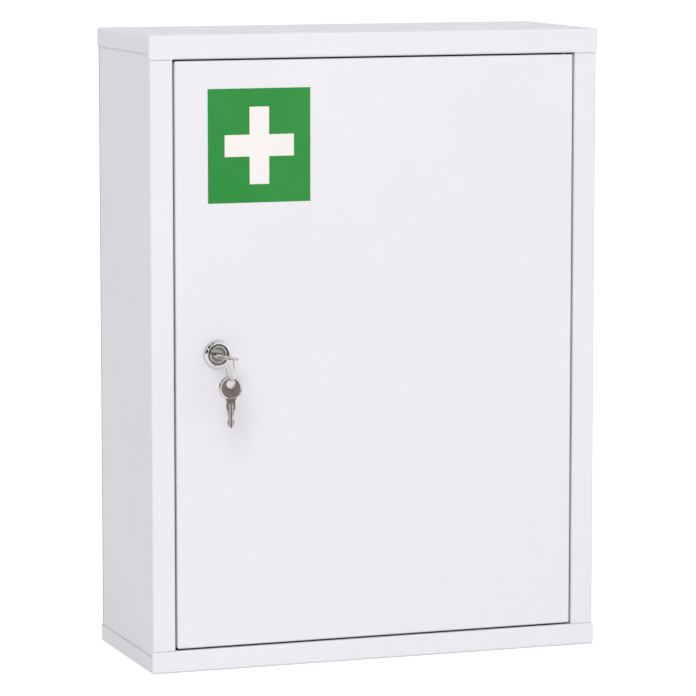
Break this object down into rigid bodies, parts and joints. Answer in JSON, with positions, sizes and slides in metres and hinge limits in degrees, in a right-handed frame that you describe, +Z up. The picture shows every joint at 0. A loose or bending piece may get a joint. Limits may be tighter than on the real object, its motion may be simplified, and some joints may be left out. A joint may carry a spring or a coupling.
{
  "type": "lockable medicine cabinet",
  "caption": "Wall-mounted sheet-steel medicine cabinet with an inset hinged door, a cam lock with keys, inner shelves and a first-aid cross sign.",
  "frame": {"origin": "centre of the footprint on the underside of the bottom pan", "axes": "+Z up, -Y out of the door side, +Y into the wall, +X to the hinge side"},
  "size_m": [0.344, 0.1744, 0.46],
  "materials": {
    "white_powder_coat": "satin powder coat with a fine texture",
    "zinc_plated_steel": "bright zinc plate",
    "lock_chrome": "polished chrome",
    "lock_nickel": "satin nickel",
    "key_nickel": "tumbled nickel plate",
    "ring_wire": "bright drawn wire",
    "wafer_brass": "stamped",
    "nylon": "natural nylon",
    "black_rubber": "matt",
    "green_film": "satin self-adhesive film",
    "white_film": "satin self-adhesive film"
  },
  "bodies": {
    "cabinet": {"left_side_panel": "white_powder_coat", "right_side_panel": "white_powder_coat", "back_panel": "white_powder_coat", "top_cap": "white_powder_coat", "bottom_pan": "white_powder_coat", "left_shelf_rails": "white_powder_coat", "right_shelf_rails": "white_powder_coat", "door_bumpers": "black_rubber", "upper_hinge_bush": "nylon", "lower_hinge_bush": "nylon"},
    "low_shelf": {"lower_shelf": "white_powder_coat"},
    "high_shelf": {"upper_shelf": "white_powder_coat"},
    "door": {"door_panel": "white_powder_coat", "door_channel": "white_powder_coat", "upper_hinge_bracket": "zinc_plated_steel", "lower_hinge_bracket": "zinc_plated_steel", "upper_hinge_pin": "zinc_plated_steel", "lower_hinge_pin": "zinc_plated_steel", "hinge_pin_clips": "zinc_plated_steel", "sign_film": "green_film", "sign_cross": "white_film", "lock_barrel": "lock_chrome", "lock_nut": "lock_chrome"},
    "lock_core": {"lock_plug": "lock_nickel", "lock_wafers": "wafer_brass", "stop_washer": "zinc_plated_steel", "cam": "zinc_plated_steel", "spring_washer": "zinc_plated_steel", "cam_screw": "zinc_plated_steel"},
    "key_in_lock": {"working_key": "key_nickel"},
    "ring": {"key_ring": "ring_wire"},
    "hanging_key": {"spare_key": "key_nickel"}
  },
  "joints": [
    {"name": "door_hinge", "type": "hinge", "parent": "cabinet", "child": "door", "pos_m": [0.14585, -0.0621, 0.22915], "axis": [0, 0, 1], "range_deg": [0, 122]},
    {"name": "lock_turn", "type": "hinge", "parent": "door", "child": "lock_core", "pos_m": [-0.12195, -0.0663, 0.2307], "axis": [0, 1, 0], "range_deg": [-8, 82]},
    {"name": "key_pull", "type": "slide", "parent": "lock_core", "child": "key_in_lock", "axis": [0, -1, 0], "range_m": [0, 0.01]},
    {"name": "ring_swing", "type": "hinge", "parent": "key_in_lock", "child": "ring", "pos_m": [-0.12195, -0.09575, 0.2307], "axis": [-1, 0, 0], "range_deg": [0, 120]},
    {"name": "spare_key_swing", "type": "hinge", "parent": "ring", "child": "hanging_key", "pos_m": [-0.12195, -0.0974, 0.21496], "axis": [0, 1, 0], "range_deg": [-75, 75]},
    {"name": "low_shelf_lift", "type": "slide", "parent": "cabinet", "child": "low_shelf", "axis": [0, 0, 1], "range_m": [0, 0.02]},
    {"name": "high_shelf_lift", "type": "slide", "parent": "cabinet", "child": "high_shelf", "axis": [0, 0, 1], "range_m": [0, 0.02]}
  ]
}
